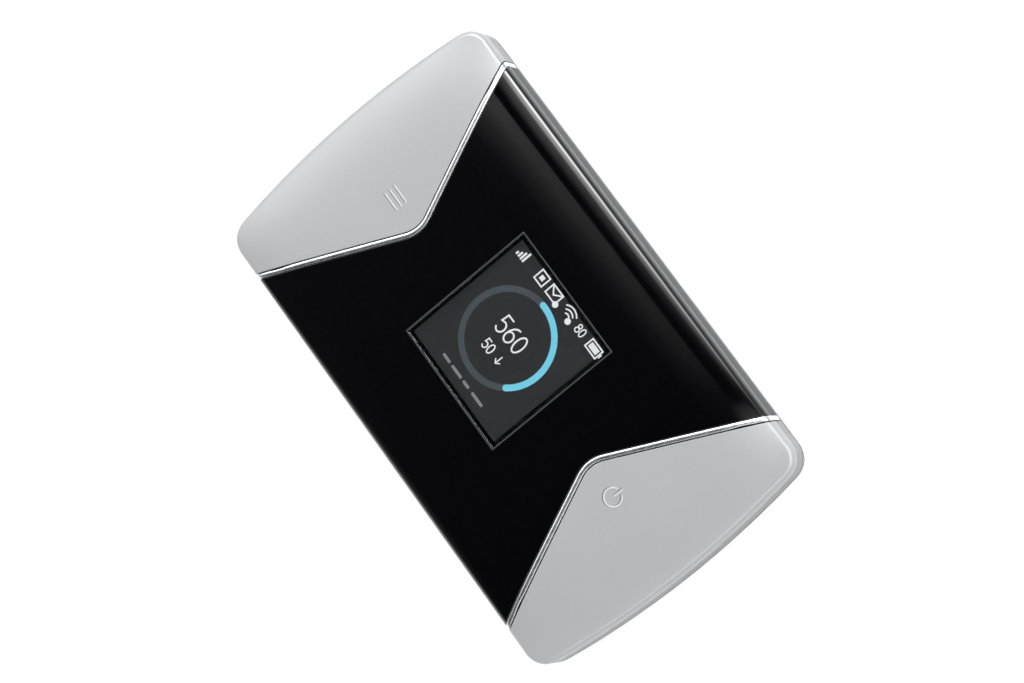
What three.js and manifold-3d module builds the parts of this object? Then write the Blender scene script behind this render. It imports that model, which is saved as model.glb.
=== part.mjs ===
// Mobile hotspot: a pocket battery-powered wireless router. Millimetres, +Z up.
// It lies on its back: the flat of the rear cover is z = 0 and the crown of the
// front is z = 16. X runs along the long side, Y along the short side, and the
// menu key is at the -X end, the power key at the +X end.
import * as THREE from "three";
import { mergeVertices } from "three/addons/utils/BufferGeometryUtils.js";
import Module from "manifold-3d";

const wasm = await Module();
wasm.setup();

// ---------------------------------------------------------------- driving sizes
const LENGTH = 112.5;
const WIDTH = 66.5;
const THICKNESS = 16.0;
const END_SAG = 2.78; // how far the bowed ends fall back at the long sides
const CORNER_RADIUS = 5.0;

const SEAM_Z = 8.4; // top of the rear cover's rim
const EDGE_Z = 14.3; // height of the front surface along its outer edge
const CROWN = THICKNESS - EDGE_Z;
const CROWN_POWER_X = 8; // how suddenly the crown rolls off towards the ends
const CROWN_POWER_Y = 6; // and towards the long sides
const EDGE_ROUND = 1.1; // rounding between the front surface and the side walls

const FLARE_X = 42.65; // where the centre panel's flared corners meet the long sides
const TIP_X = 28.16; // how close the keys' rounded tips come to the middle
const TIP_RADIUS = 7.5;

const TRIM_WIDTH = 0.92;
const TRIM_END_WIDTH = 1.12; // the trims are wider beyond the ends of the slots
const KEY_OFFSET = 1.24; // panel edge to key edge, so the slot is 0.32 wide
const SLOT_END_Y = 30.3;
const FIT = 0.08; // visible joint between the panel and its neighbours

const PANEL_THICK = 1.4;
const TRIM_DEPTH = 1.5;
const KEY_WALL = 1.5;
const COVER_WALL = 1.1;
const SIDE_GAP = 0.25; // rear cover's rim to the frame and keys above it

const SCREEN = { x: 0, y: 1.3, w: 29.2, h: 30.6 };
const DECK = [11.1, 11.9]; // bottom and top of the front frame's deck
const BOARD = [8.6, 9.4];
const TRAY = [2.2, 7.5]; // back face of the chassis and top of its bay floor
const BAY = { x0: -43, x1: 45, y: 25, floor: 6.9 };
const BATTERY = { x0: -42, x1: 20, y: 24, z0: 1.35, z1: 6.75 };

const ICON_X = 36.5; // middle of the key symbols and of the switches below them
const SYMBOL = { z0: 15.4, z1: 15.99, stroke: 0.44 }; // raised key symbols, just proud of the keys
const HINGE = { x: 53.6, z: 12.3, r: 0.8, y: 14 }; // bead that each key rocks on
const RESET = { x: 34, y: 0 };
const SCREWS = [
  [-48.4, -23.5], [-48.4, 23.5], [48.4, -23.5], [48.4, 23.5], [-18, 26.9], [18, -26.9],
];

// Rear cover profile: height and how far the wall has drawn in from the outline.
const COVER_PROFILE = [
  [0, 6.6], [0.15, 5.6], [0.6, 4.3], [1.4, 3.0], [2.6, 1.9], [4.2, 0.95], [5.8, 0.33],
  [7.3, 0], [SEAM_Z, 0],
];

// ---------------------------------------------------------------- solids
function solid(geometry) {
  for (const name of ["normal", "uv"]) geometry.deleteAttribute(name);
  const g = mergeVertices(geometry, 1e-4);
  const vertProperties = g.attributes.position.array;
  const triVerts = new Uint32Array(g.index.array);
  return new wasm.Manifold(new wasm.Mesh({ numProp: 3, vertProperties, triVerts }));
}

function prism(points, z0, z1) {
  const shape = new THREE.Shape(points.map(([x, y]) => new THREE.Vector2(x, y)));
  const depth = z1 - z0;
  return solid(new THREE.ExtrudeGeometry(shape, { depth, bevelEnabled: false }).translate(0, 0, z0));
}

function box(x0, x1, y0, y1, z0, z1) {
  const g = new THREE.BoxGeometry(x1 - x0, y1 - y0, z1 - z0);
  return solid(g.translate((x0 + x1) / 2, (y0 + y1) / 2, (z0 + z1) / 2));
}

function rod(x, y, r, z0, z1, sides = 24) {
  const g = new THREE.CylinderGeometry(r, r, z1 - z0, sides).rotateX(Math.PI / 2);
  return solid(g.translate(x, y, (z0 + z1) / 2));
}

function barAlongY(x, z, r, halfLength, sides = 20) {
  return solid(new THREE.CylinderGeometry(r, r, 2 * halfLength, sides).translate(x, 0, z));
}

function roundedBlock(cx, cy, w, h, r, z0, z1, steps = 5) {
  const points = [];
  for (const [sx, sy, start] of [[1, -1, -90], [1, 1, 0], [-1, 1, 90], [-1, -1, 180]])
    for (let i = 0; i <= steps; i++) {
      const a = THREE.MathUtils.degToRad(start + (90 * i) / steps);
      points.push([cx + sx * (w / 2 - r) + r * Math.cos(a), cy + sy * (h / 2 - r) + r * Math.sin(a)]);
    }
  return prism(points, z0, z1);
}

const join = (...parts) => parts.reduce((a, b) => a.add(b));
const cut = (body, ...tools) => tools.reduce((a, b) => a.subtract(b), body);
const common = (...parts) => parts.reduce((a, b) => a.intersect(b));

// Closed solid from rings of equal count, lowest first, with flat or pointed ends.
function ringSolid(rings, bottomCentre, topCentre) {
  const count = rings[0].length;
  const vertices = rings.flat();
  const triangles = [];
  for (let k = 0; k + 1 < rings.length; k++)
    for (let i = 0; i < count; i++) {
      const j = (i + 1) % count;
      const [a, b, c, d] = [k * count + i, k * count + j, (k + 1) * count + j, (k + 1) * count + i];
      triangles.push(a, b, c, a, c, d);
    }
  const low = vertices.push(bottomCentre) - 1;
  const high = vertices.push(topCentre) - 1;
  const last = (rings.length - 1) * count;
  for (let i = 0; i < count; i++) {
    const j = (i + 1) % count;
    triangles.push(low, j, i, high, last + i, last + j);
  }
  const g = new THREE.BufferGeometry();
  g.setAttribute("position", new THREE.Float32BufferAttribute(vertices.flat(), 3));
  return solid(g.setIndex(triangles));
}

// ---------------------------------------------------------------- outer form
const HALF_L = LENGTH / 2;
const HALF_W = WIDTH / 2;
const END_RADIUS = (HALF_W ** 2 + END_SAG ** 2) / (2 * END_SAG);
const endX = (y) => HALF_L - END_RADIUS + Math.sqrt(END_RADIUS ** 2 - Math.min(Math.abs(y), HALF_W) ** 2);

// Outline of the plan view drawn in by inset, counter-clockwise from the middle of
// the +X end. The corners tighten with the inset, but not below minRadius.
function outline(inset, minRadius = 2.5) {
  const r = Math.max(CORNER_RADIUS - inset, minRadius);
  const endR = END_RADIUS - inset;
  const ex = HALF_L - END_RADIUS;
  const cy = HALF_W - inset - r;
  const cx = ex + Math.sqrt((endR - r) ** 2 - cy ** 2);
  const turn = Math.atan2(cy, cx - ex);
  const quarter = [];
  for (let i = 0; i < 6; i++) {
    const a = (turn * i) / 6;
    quarter.push([ex + endR * Math.cos(a), endR * Math.sin(a)]);
  }
  for (let i = 0; i < 9; i++) {
    const a = turn + ((Math.PI / 2 - turn) * i) / 9;
    quarter.push([cx + r * Math.cos(a), cy + r * Math.sin(a)]);
  }
  for (let i = 0; i < 8; i++) quarter.push([cx * (1 - i / 8), HALF_W - inset]);
  const left = [[0, HALF_W - inset], ...quarter.slice(1).reverse().map(([x, y]) => [-x, y])];
  const upper = [...quarter, ...left];
  return [...upper, [inset - HALF_L, 0], ...upper.slice(1).reverse().map(([x, y]) => [x, -y])];
}
const slab = (inset, z0, z1) => prism(outline(inset), z0, z1);

function crownHeight(x, y) {
  const p = Math.min(Math.abs(x) / endX(y), 1);
  const q = Math.min(Math.abs(y) / HALF_W, 1);
  return EDGE_Z + CROWN * (1 - p ** CROWN_POWER_X) * (1 - q ** CROWN_POWER_Y);
}

// Everything under the front surface lowered by drop, inside the outline drawn in by inset.
function underCrown(inset, drop, round, floorZ = 0) {
  const lift = ([x, y], down) => [x, y, crownHeight(x, y) - drop - down];
  const rings = [outline(inset).map(([x, y]) => [x, y, floorZ])];
  for (const degrees of [0, 30, 60, 90]) {
    const a = THREE.MathUtils.degToRad(degrees);
    const ring = outline(inset + round * (1 - Math.cos(a)));
    rings.push(ring.map((point) => lift(point, round * (1 - Math.sin(a)))));
  }
  const edge = outline(inset + round);
  for (const s of [0.975, 0.945, 0.905, 0.85, 0.78, 0.68, 0.54, 0.36])
    rings.push(edge.map(([x, y]) => lift([x * s, y * s], 0)));
  return ringSolid(rings, [0, 0, floorZ], [0, 0, THICKNESS - drop]);
}

// ---------------------------------------------------------------- plan regions
// The V-shaped edge between centre panel and +X key, from top to bottom, moved
// towards the key by offset.
function vee(offset, reach = 45) {
  const tipCentre = TIP_X + TIP_RADIUS;
  const away = Math.hypot(FLARE_X - tipCentre, HALF_W);
  const lean = Math.asin(TIP_RADIUS / away) + Math.atan2(FLARE_X - tipCentre, HALF_W);
  const r = TIP_RADIUS - offset;
  const arc = [];
  for (let i = 0; i <= 8; i++) {
    const a = Math.PI - lean + (2 * lean * i) / 8;
    arc.push([tipCentre + r * Math.cos(a), r * Math.sin(a)]);
  }
  const [sx, sy] = [reach * Math.sin(lean), reach * Math.cos(lean)];
  const [first, last] = [arc[0], arc[8]];
  return [[first[0] + sx, first[1] + sy], ...arc, [last[0] + sx, last[1] - sy]];
}
const mirrored = (points) => points.map(([x, y]) => [-x, y]).reverse();

// Regions are prisms over the full height; side is +1 for the +X end, -1 for the -X end.
const region = (points, side = 1) => prism(side > 0 ? points : mirrored(points), -5, 25);
const centreRegion = (offset) => region([...vee(offset), ...mirrored(vee(offset))].reverse());
const keyRegion = (side) => region([...vee(KEY_OFFSET), [80, -45], [80, 45]], side);
function stripRegion(side) {
  const strip = (width) => region([...vee(0), ...vee(width).reverse()], side);
  const ends = join(box(-80, 80, SLOT_END_Y, 50, -5, 25), box(-80, 80, -50, -SLOT_END_Y, -5, 25));
  return join(strip(TRIM_WIDTH), common(strip(TRIM_END_WIDTH), ends));
}

const outerForm = underCrown(0, 0, EDGE_ROUND);
const aboveSeam = box(-80, 80, -50, 50, SEAM_Z + SIDE_GAP, 20);
const screenBlock = (grow, z0, z1) =>
  roundedBlock(SCREEN.x, SCREEN.y, SCREEN.w + 2 * grow, SCREEN.h + 2 * grow, 0.8, z0, z1);

// ---------------------------------------------------------------- the group
const hotspot = new THREE.Group();
hotspot.name = "mobile_hotspot";

function add(name, shape, color, metalness = 0, roughness = 0.5, extra = {}) {
  const mesh = shape.getMesh();
  const g = new THREE.BufferGeometry();
  g.setAttribute("position", new THREE.BufferAttribute(mesh.vertProperties, mesh.numProp));
  g.setIndex(new THREE.BufferAttribute(mesh.triVerts, 1));
  const faceted = g.toNonIndexed();
  faceted.computeVertexNormals();
  const material = new THREE.MeshStandardMaterial({ color, metalness, roughness, ...extra });
  const part = new THREE.Mesh(faceted, material);
  part.name = name;
  hotspot.add(part);
}

const SILVER = 0xb9babb;
const CHROME = 0xe6e7e8;
const GLOSS_BLACK = 0x08090a;
const GUNMETAL = 0x55575a;
const BLACK_PLASTIC = 0x1b1c1e;
const STEEL = 0xa9acae;
const GOLD = 0xb88a3c;

// ---------------------------------------------------------------- front panel and screen
{
  const plate = cut(outerForm, underCrown(-1, PANEL_THICK, 0.01, -2));
  const panel = cut(common(plate, centreRegion(-FIT)), screenBlock(0, 10, 20));
  add("front_panel", panel, GLOSS_BLACK, 0, 0.08);
  const lens = common(outerForm, screenBlock(-0.1, 16 - PANEL_THICK, 20));
  add("display_lens", lens, 0x20262a, 0, 0.03, { transparent: true, opacity: 0.35 });

  const [w, h] = [33.4, 35.4];
  const at = (grow, z0, z1) => roundedBlock(SCREEN.x, SCREEN.y, w + grow, h + grow, 0.6, z0, z1);
  add("lcd_gasket", cut(at(-0.8, 13.05, 14.45), screenBlock(0.3, 12, 16)), 0x101011, 0, 0.9);
  add("lcd_panel", at(0, 12.1, 13.0), 0x2d3134, 0, 0.2);
  add("backlight", at(0, 10.9, 12.0), 0xe9ecee, 0, 0.6);
  add("lcd_frame", cut(at(1.2, 10.4, 12.6), at(0.4, 10.8, 14)), STEEL, 1, 0.4);

  const ribbon = [
    [-17.2, 11.65], [-19.35, 11.65], [-19.35, 9.5], [-15.5, 9.5], [-15.5, 9.65], [-19.2, 9.65],
    [-19.2, 11.5], [-17.2, 11.5],
  ];
  const shape = new THREE.Shape(ribbon.map(([y, z]) => new THREE.Vector2(y, z)));
  const flex = new THREE.ExtrudeGeometry(shape, { depth: 11, bevelEnabled: false });
  // The profile is drawn in Y and Z, so it is turned to stand across X.
  flex.applyMatrix4(new THREE.Matrix4().set(0, 0, 1, -5.5, 1, 0, 0, 0, 0, 1, 0, 0, 0, 0, 0, 1));
  add("lcd_flex", solid(flex), 0xa8702c, 0, 0.5);
}

// ---------------------------------------------------------------- keys and trims
// Three bars, one above the other.
function menuSymbol() {
  const half = SYMBOL.stroke / 2;
  const bar = (y) => box(-ICON_X - 2.1, -ICON_X + 2.1, y - half, y + half, SYMBOL.z0, SYMBOL.z1);
  return [-1.25, 0, 1.25].map(bar);
}

// A ring, open towards +Y, with an upright bar in the gap.
function powerSymbol() {
  const [half, radius, y] = [SYMBOL.stroke / 2, 2.05, -0.15];
  const disc = rod(ICON_X, y, radius, SYMBOL.z0, SYMBOL.z1, 32);
  const hole = rod(ICON_X, y, radius - SYMBOL.stroke, SYMBOL.z0 - 1, SYMBOL.z1 + 1, 32);
  const gap = box(ICON_X - 0.75, ICON_X + 0.75, 0, 3, SYMBOL.z0 - 1, SYMBOL.z1 + 1);
  const bar = box(ICON_X - half, ICON_X + half, 0.2, 2.35, SYMBOL.z0, SYMBOL.z1);
  return [cut(disc, hole, gap), bar];
}

for (const [side, key, trim, symbol] of [
  [-1, "menu_wing", "left_trim", menuSymbol()],
  [1, "power_wing", "right_trim", powerSymbol()],
]) {
  const shell = cut(outerForm, underCrown(KEY_WALL, KEY_WALL, 0.3, -2));
  const cap = common(shell, keyRegion(side), aboveSeam);
  const bead = barAlongY(side * HINGE.x, HINGE.z, HINGE.r, HINGE.y);
  const [inner, outer] = [side * HINGE.x - 0.5, side * HINGE.x + 0.5];
  const web = box(inner, outer, -HINGE.y, HINGE.y, HINGE.z, 13.9);
  const post = rod(side * ICON_X, 0, 1.4, 12.35, 15);
  add(key, join(cap, bead, web, post, ...symbol), SILVER, 0.6, 0.35);

  const liner = cut(outerForm, underCrown(TRIM_DEPTH, TRIM_DEPTH, 0.3, -2));
  add(trim, common(liner, stripRegion(side), aboveSeam), CHROME, 1, 0.08);
}

// ---------------------------------------------------------------- front frame
{
  const bottom = SEAM_Z + SIDE_GAP;
  const ring = cut(slab(1.75, bottom, DECK[1]), slab(3, bottom - 1, DECK[0]));
  const band = cut(slab(0, bottom, 12.8), slab(3, 0, 20));
  const centreBand = common(band, centreRegion(-FIT));

  const ribFoot = box(-60, 60, -31.2, 31.2, DECK[0], 12.7);
  const ribHole = common(centreRegion(-2.6), box(-60, 60, -29.4, 29.4, 0, 20));
  const seat = cut(common(centreRegion(0.8), ribFoot), ribHole);

  const bosses = SCREWS.map(([x, y]) => rod(x, y, 1.8, BOARD[1] + 0.05, DECK[1]));
  const cradles = [-1, 1].map((side) => {
    const [near, far] = [side * 52.2, side * 54.9].sort((a, b) => a - b);
    return common(box(near, far, -15, 15, bottom, HINGE.z - 0.1), slab(1.75, 0, 20));
  });

  const body = join(ring, centreBand, seat, ...bosses, ...cradles);
  const openings = [
    box(-17.7, 17.7, -17.4, 20.0, 9, 20),
    box(-7, 7, -21, -17, 9, 20),
    box(-4.2, 4.2, -50, -27.1, BOARD[1], 12.25),
    ...[-1, 1].map((side) => rod(side * ICON_X, 0, 1.3, 9, 12.2)),
    ...[-1, 1].map((side) => barAlongY(side * HINGE.x, HINGE.z, HINGE.r + 0.1, HINGE.y + 0.3)),
    ...SCREWS.map(([x, y]) => rod(x, y, 0.75, 9, 11.2)),
  ];
  add("front_frame", cut(body, ...openings), GUNMETAL, 0.5, 0.4);
}

// ---------------------------------------------------------------- main board and what it carries
{
  const edge = roundedBlock(0, 0, 100, 57, 2.5, BOARD[0], BOARD[1]);
  const tongue = box(-6, 6, -30, -27, BOARD[0], BOARD[1]);
  const holes = SCREWS.map(([x, y]) => rod(x, y, 0.9, 8, 10));
  add("main_board", cut(join(edge, tongue), ...holes), 0x14502f, 0, 0.5);

  const top = BOARD[1] + 0.05;
  const can = (name, x, y, w, h) => add(name, roundedBlock(x, y, w, h, 0.8, top, 10.85, 3), STEEL, 1, 0.35);
  can("modem_shield", -26.4, -6, 14, 34);
  can("radio_shield", 26.4, 8, 14, 30);
  can("power_shield", 26.4, -17.5, 14, 15);
  const chip = (name, x, y, w, h) =>
    add(name, box(x - w / 2, x + w / 2, y - h / 2, y + h / 2, top, 10.2), BLACK_PLASTIC);
  chip("processor_chip", -6, 6, 12, 12);
  chip("memory_chip", 8.5, 6, 9, 11);

  const shell = box(-3.75, 3.75, -33.0, -27.4, top, 12.05);
  const mouth = box(-3.4, 3.4, -34, -28.6, top + 0.35, 11.7);
  const tongueBar = box(-2.4, 2.4, -32.3, -28, 10.95, 11.4);
  add("usb_port", join(cut(shell, mouth), tongueBar), STEEL, 1, 0.3);

  for (const [side, name] of [[-1, "menu"], [1, "power"]]) {
    const x = side * ICON_X;
    const base = box(x - 2.3, x + 2.3, -2.3, 2.3, top, 11.0);
    add(name + "_switch", cut(base, rod(x, 0, 1.15, 10.4, 12)), BLACK_PLASTIC);
    add(name + "_plunger", rod(x, 0, 0.9, 10.75, 12.3), 0xd8d4c8);
  }

  const antenna = (name, x0, x1, y0, y1) => add(name, box(x0, x1, y0, y1, 11.95, 12.25), GOLD, 1, 0.4);
  antenna("main_antenna", -50.5, -44.5, -20, 20);
  antenna("diversity_antenna", 44.5, 50.5, -20, 20);
  antenna("wifi_antenna_upper", -13, 13, 23, 28);
  antenna("wifi_antenna_lower", -13, 13, -26.5, -22);
}

// ---------------------------------------------------------------- rear chassis, sockets, reset key
{
  const tray = cut(slab(4.6, TRAY[0], TRAY[1]), slab(5.6, TRAY[0] + 1, 10));
  const bayBlock = box(BAY.x0 - 1, BAY.x1 + 1, -BAY.y - 1, BAY.y + 1, TRAY[0], TRAY[1]);
  const bosses = SCREWS.map(([x, y]) => rod(x, y, 1.8, TRAY[0], BOARD[0] - 0.05));
  const bay = box(BAY.x0, BAY.x1, -BAY.y, BAY.y, 0, BAY.floor);
  const nailRecess = roundedBlock(BAY.x0, 0, 8, 14, 2, 0, 4.4);
  const holes = SCREWS.map(([x, y]) => join(rod(x, y, 0.75, 0, 10), rod(x, y, 1.5, 0, 3.2)));
  const solidTray = join(tray, bayBlock, ...bosses, box(-49, -43, -9, 9, TRAY[0], TRAY[1]));
  const resetHole = rod(RESET.x, RESET.y, 1.15, 5, 9);
  add("rear_chassis", cut(solidTray, bay, nailRecess, resetHole, ...holes), BLACK_PLASTIC, 0, 0.7);

  const socket = (name, x0, x1, y0, y1) => {
    const cage = box(x0, x1, y0, y1, 5.4, BAY.floor - 0.05);
    add(name, cut(cage, box(x0 - 1, x1 - 2, y0 + 1, y1 - 1, 5.8, 6.5)), STEEL, 1, 0.35);
  };
  socket("sim_socket", 26, 43, -23, -8);
  socket("memory_card_socket", 27, 43, 8.5, 21.5);

  const blades = [-4.5, -1.5, 1.5, 4.5].map((y) => box(20.15, 21, y - 0.5, y + 0.5, 4.6, 6.4));
  const contacts = join(box(20.7, 23.4, -7, 7, 4.2, BAY.floor - 0.05), ...blades);
  add("battery_contacts", contacts, GOLD, 1, 0.3);

  const stem = rod(RESET.x, RESET.y, 1.0, 6.2, 7.6);
  add("reset_button", join(stem, rod(RESET.x, RESET.y, 1.5, 7.58, 7.85)), 0x3a3c3f);
  const r = 1.7;
  const base = box(RESET.x - r, RESET.x + r, RESET.y - r, RESET.y + r, 8.15, BOARD[0] - 0.05);
  add("reset_switch", base, BLACK_PLASTIC);
}

// ---------------------------------------------------------------- battery, screws, rear cover
{
  const { x0, x1, y, z0, z1 } = BATTERY;
  const cx = (x0 + x1) / 2;
  add("battery", roundedBlock(cx, 0, x1 - x0, 2 * y, 2, z0, z1), 0x24262a, 0.2, 0.5);
  add("battery_label", roundedBlock(cx, 0, 46, 34, 1, z0 - 0.15, z0 - 0.05), 0xc9cbcc, 0, 0.7);
}

SCREWS.forEach(([x, y], i) => {
  const head = cut(rod(x, y, 1.3, 2.4, 3.15), box(x - 0.15, x + 0.15, y - 0.8, y + 0.8, 2, 2.75));
  const cross = cut(head, box(x - 0.8, x + 0.8, y - 0.15, y + 0.15, 2, 2.75));
  add("screw_" + (i + 1), join(cross, rod(x, y, 0.6, 3.1, 10.9, 16)), STEEL, 1, 0.3);
});

{
  const outside = COVER_PROFILE.map(([z, inset]) => outline(inset, 4).map(([x, y]) => [x, y, z]));
  const inside = COVER_PROFILE.filter(([z]) => z >= 1.4).map(([z, inset]) =>
    outline(inset + COVER_WALL, 3).map(([x, y]) => [x, y, z === SEAM_Z ? SEAM_Z + 1 : z]));
  inside.unshift(outline(5.2, 3).map(([x, y]) => [x, y, 1]));
  const skin = ringSolid(outside, [0, 0, 0], [0, 0, SEAM_Z]);
  const dish = cut(skin, ringSolid(inside, [0, 0, 1], [0, 0, SEAM_Z + 1]));

  // Snap tabs: a foot on the wall and an upright tongue that reaches into the frame.
  const wallBand = cut(slab(0.6, 6.4, 8.1), slab(4.0, 0, 20));
  const tongueBand = cut(slab(3.2, 6.4, 9.9), slab(4.0, 0, 20));
  // The -Y side has none in the middle, where the charging socket is.
  const spots = [[-30, 31], [0, 31], [30, 31], [-30, -31], [30, -31]];
  const ends = [-18, 18].flatMap((y) => [[53, y], [-53, y]]);
  const places = [...spots.map(([x, y]) => box(x - 2.5, x + 2.5, y - 4, y + 4, 6, 10)),
    ...ends.map(([x, y]) => box(x - 4, x + 4, y - 2.5, y + 2.5, 6, 10))];
  const tabs = common(join(wallBand, tongueBand), join(...places));

  const nailNotch = box(-60, -HALF_L + 0.6, -7, 7, 7.2, 9);
  add("rear_cover", cut(join(dish, tabs), nailNotch), SILVER, 0.5, 0.4);
}

export default hotspot;
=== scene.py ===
import math
import bpy
from mathutils import Matrix, Vector


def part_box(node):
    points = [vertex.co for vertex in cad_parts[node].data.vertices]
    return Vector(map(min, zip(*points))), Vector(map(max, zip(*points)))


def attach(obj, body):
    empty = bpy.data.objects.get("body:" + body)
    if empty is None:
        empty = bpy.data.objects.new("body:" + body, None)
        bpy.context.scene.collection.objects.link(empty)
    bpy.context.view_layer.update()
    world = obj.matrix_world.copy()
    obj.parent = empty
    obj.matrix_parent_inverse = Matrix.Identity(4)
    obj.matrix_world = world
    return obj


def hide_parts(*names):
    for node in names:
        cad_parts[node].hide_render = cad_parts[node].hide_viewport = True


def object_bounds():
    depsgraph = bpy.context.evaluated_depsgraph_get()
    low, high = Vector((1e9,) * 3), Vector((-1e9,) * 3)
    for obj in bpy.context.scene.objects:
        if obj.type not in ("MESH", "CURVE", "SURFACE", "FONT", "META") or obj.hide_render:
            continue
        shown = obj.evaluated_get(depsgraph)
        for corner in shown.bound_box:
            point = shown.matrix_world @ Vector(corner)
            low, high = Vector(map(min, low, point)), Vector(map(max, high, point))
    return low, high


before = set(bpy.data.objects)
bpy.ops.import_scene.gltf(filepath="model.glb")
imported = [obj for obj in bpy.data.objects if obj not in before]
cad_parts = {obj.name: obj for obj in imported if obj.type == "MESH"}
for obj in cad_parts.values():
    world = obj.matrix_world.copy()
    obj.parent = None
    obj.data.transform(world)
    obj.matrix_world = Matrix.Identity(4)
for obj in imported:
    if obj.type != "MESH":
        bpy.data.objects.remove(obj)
cad_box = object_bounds()
scene = bpy.context.scene
MM = 0.001  # shapes are worked out in mm, and made in metres


# ------------------------------------------------------------------ sizes, in mm
def node_box(name):
    low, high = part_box(name)
    return [v / MM for v in low], [v / MM for v in high]


HALF_L = (cad_box[1][0] - cad_box[0][0]) / 2 / MM
HALF_W = (cad_box[1][1] - cad_box[0][1]) / 2 / MM
TOP = cad_box[1][2] / MM
EDGE_Z = 14.3  # height of the front along its outline; it rises to TOP in the middle
CROWN = TOP - EDGE_Z
ROUND = 1.1  # radius of the front's outer edge
SAG = 2.78  # how far the short ends bulge
CORNER_R = 5.0  # corners of the plan
FLARE_X = 42.65  # where the panel's slanted edge reaches the long side
TIP_R = 7.5  # radius of the keys' tips
TIP_X = -node_box("left_trim")[1][0]
KEY_LOW = node_box("menu_wing")[0][2]
PANEL_LOW = node_box("front_panel")[0][2]
FIT = 0.08  # gap between the panel and a trim
KEY_OFFSET = 1.24  # from the panel's edge to the key's, over trim and slot
# A trim's width along the tip, beside the open end of the slot, and beyond the slot.
FINE_TRIM_W, TRIM_W, TRIM_END_W = 1.05, 0.92, 1.02
SLOT_OPEN_Y, SLOT_END = 26.0, 30.3  # where the slot gets wider, and where it ends
OPENING, CLOSING = 1.2, 0.4  # lengths over which it does so
TRIM_LIFT = 0.07  # how much the middle of a trim stands over its edges
SKIN, BEVEL = 0.9, 0.1  # wall and edge rounding of a shell
SHARP = math.radians(38)  # a bend from here on is an edge, not a curve

END_R = (HALF_W ** 2 + SAG ** 2) / (2 * SAG)
END_CX = HALF_L - END_R
CY = HALF_W - CORNER_R
CX = END_CX + math.sqrt((END_R - CORNER_R) ** 2 - CY ** 2)
TURN = math.atan2(CY, CX - END_CX)
TIP_CX = TIP_X + TIP_R
FLARE = FLARE_X - TIP_CX
LEAN = math.asin(TIP_R / math.hypot(FLARE, HALF_W)) + math.atan2(FLARE, HALF_W)
LENS_LOW, LENS_HIGH = node_box("display_lens")
LENS_GAP = 0.1  # round the CAD's lens
SCREEN = (LENS_LOW[0] - LENS_GAP, LENS_HIGH[0] + LENS_GAP,
          LENS_LOW[1] - LENS_GAP, LENS_HIGH[1] + LENS_GAP)  # the panel's opening: x0, x1, y0, y1
ICON_X = sum(corner[0] for corner in node_box("power_switch")) / 2


def end_x(y):
    return END_CX + math.sqrt(END_R ** 2 - min(abs(y), HALF_W) ** 2)


def crown(x, y):
    """Height of the gently domed front."""
    p, q = abs(x) / end_x(y), abs(y) / HALF_W
    return EDGE_Z + CROWN * (1 - p ** 8) * (1 - q ** 6)


def vee_x(y, offset):
    """Edge between the panel and the +X key at height y of the plan, moved towards the key."""
    r = TIP_R - offset
    if abs(y) <= r * math.sin(LEAN):
        return TIP_CX - math.sqrt(r * r - y * y)
    return TIP_CX - r * math.cos(LEAN) + (abs(y) - r * math.sin(LEAN)) * math.tan(LEAN)


def spread(a, b, n):
    """n + 1 even steps from a to b."""
    return [a + (b - a) * i / n for i in range(n + 1)]


# ------------------------------------------------------------------ mesh building
def make_object(name, verts, faces, smooth=True):
    mesh = bpy.data.meshes.new(name)
    mesh.from_pydata([tuple(c * MM for c in v) for v in verts], [], faces)
    mesh.update()
    if smooth:
        mesh.polygons.foreach_set("use_smooth", [True] * len(mesh.polygons))
        mesh.set_sharp_from_angle(angle=SHARP)
    obj = bpy.data.objects.new(name, mesh)
    scene.collection.objects.link(obj)
    return obj


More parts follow.
